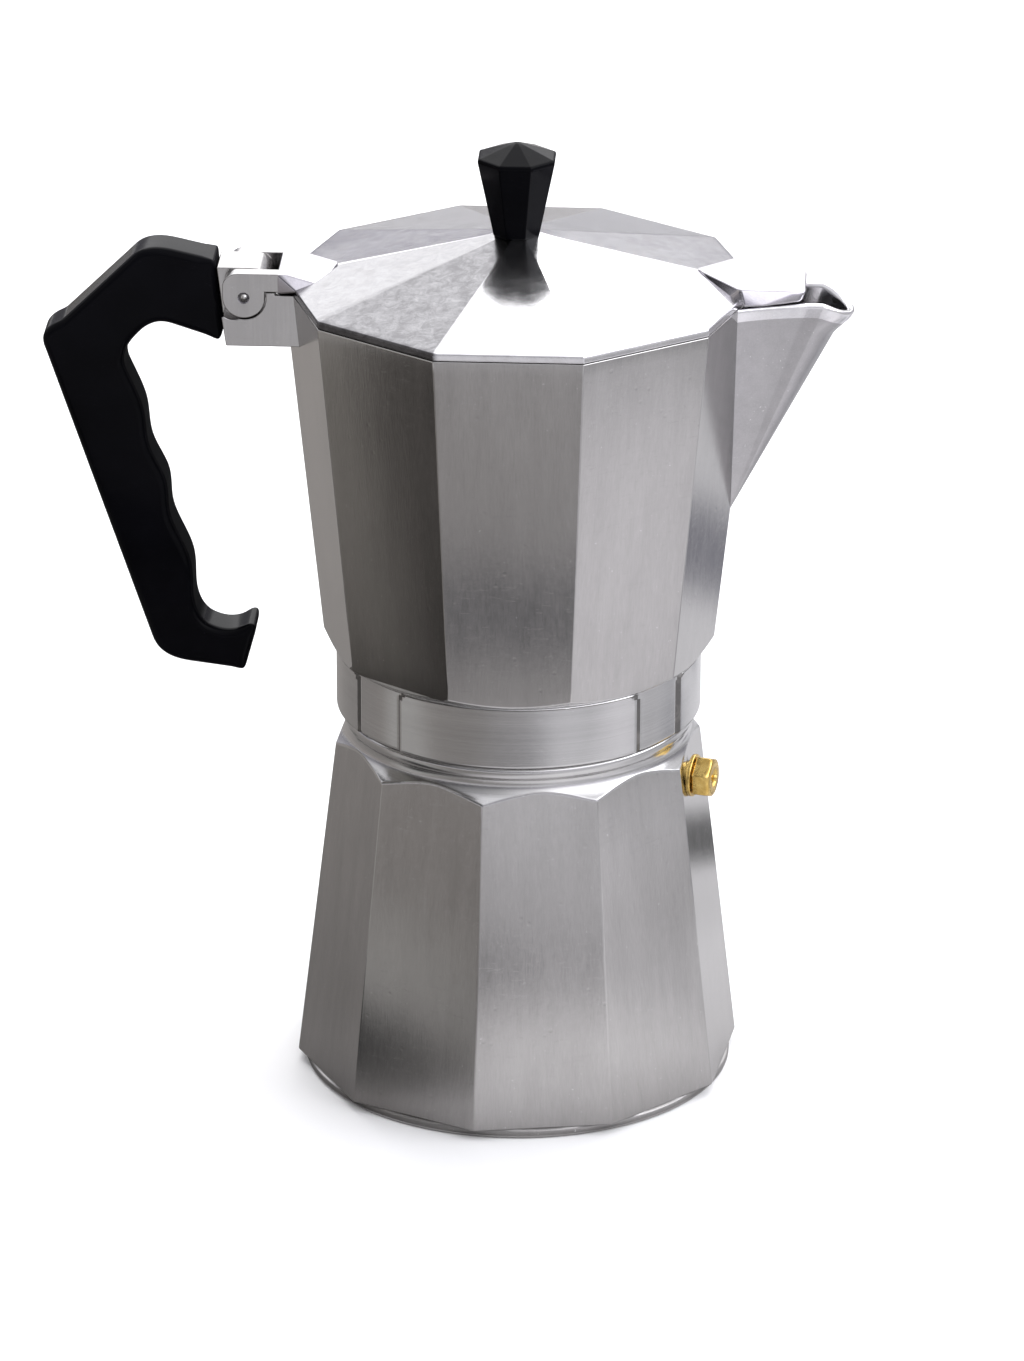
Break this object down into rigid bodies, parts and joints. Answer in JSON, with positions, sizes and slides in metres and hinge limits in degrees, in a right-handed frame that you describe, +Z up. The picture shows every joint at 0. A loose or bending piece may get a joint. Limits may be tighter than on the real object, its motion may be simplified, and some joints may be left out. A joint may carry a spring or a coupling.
{
  "type": "stovetop moka pot",
  "caption": "Faceted aluminium moka pot: tapered boiler with safety valve, screw-on upper pot with spout, hinged lid with knob, and a black looped side handle.",
  "frame": {"origin": "centre of the boiler's flat bottom, on the stove or table", "axes": "+Z up along the pot's axis, +X towards the pouring spout, -X towards the handle"},
  "size_m": [0.237, 0.1322, 0.2887],
  "materials": {
    "cast_aluminium": "satin polished casting with fine vertical grain",
    "pressed_aluminium": "matt pressed sheet",
    "brass": "turned and dulled",
    "steel": "plated",
    "black_plastic": "glossy moulded phenolic",
    "gasket_rubber": "matt off-white rubber"
  },
  "bodies": {
    "boiler_base": {"boiler": "cast_aluminium", "valve_body": "brass", "valve_washer": "brass", "valve_spring": "steel"},
    "valve_pin": {"valve_stem": "brass"},
    "funnel": {"funnel_cup": "pressed_aluminium", "funnel_tube": "pressed_aluminium", "funnel_screen": "pressed_aluminium"},
    "seal": {"gasket": "gasket_rubber"},
    "filter": {"filter_plate": "pressed_aluminium"},
    "pot": {"upper_pot": "cast_aluminium", "column": "cast_aluminium", "handle": "black_plastic", "handle_screw": "steel", "hinge_pin": "steel"},
    "lid_group": {"lid": "cast_aluminium", "knob": "black_plastic", "knob_washer": "steel", "knob_screw": "steel"}
  },
  "joints": [
    {"name": "pot_lift", "type": "slide", "parent": "boiler_base", "child": "seal", "axis": [0, 0, 1], "range_m": [0, 0.24]},
    {"name": "funnel_lift", "type": "slide", "parent": "boiler_base", "child": "funnel", "axis": [0, 0, 1], "range_m": [0, 0.1205]},
    {"name": "thread_rise", "type": "slide", "parent": "seal", "child": "filter", "axis": [0, 0, 1], "range_m": [0, 0.0038]},
    {"name": "pot_turn", "type": "hinge", "parent": "filter", "child": "pot", "pos_m": [0, 0, 0.113], "axis": [0, 0, 1], "range_deg": [0, 450]},
    {"name": "lid_hinge", "type": "hinge", "parent": "pot", "child": "lid_group", "pos_m": [-0.0798, 0, 0.2435], "axis": [0, -1, 0], "range_deg": [0, 95]},
    {"name": "valve_relief", "type": "slide", "parent": "boiler_base", "child": "valve_pin", "axis": [0.9613, -0.2756, 0], "range_m": [0, 0.0015], "stiffness_N_per_m": 200}
  ],
  "couplings": [
    {"joint": "funnel_lift", "follows": "pot_lift", "ratio": 0.5},
    {"joint": "thread_rise", "follows": "pot_turn", "m_per_rad": 0.00047746}
  ]
}
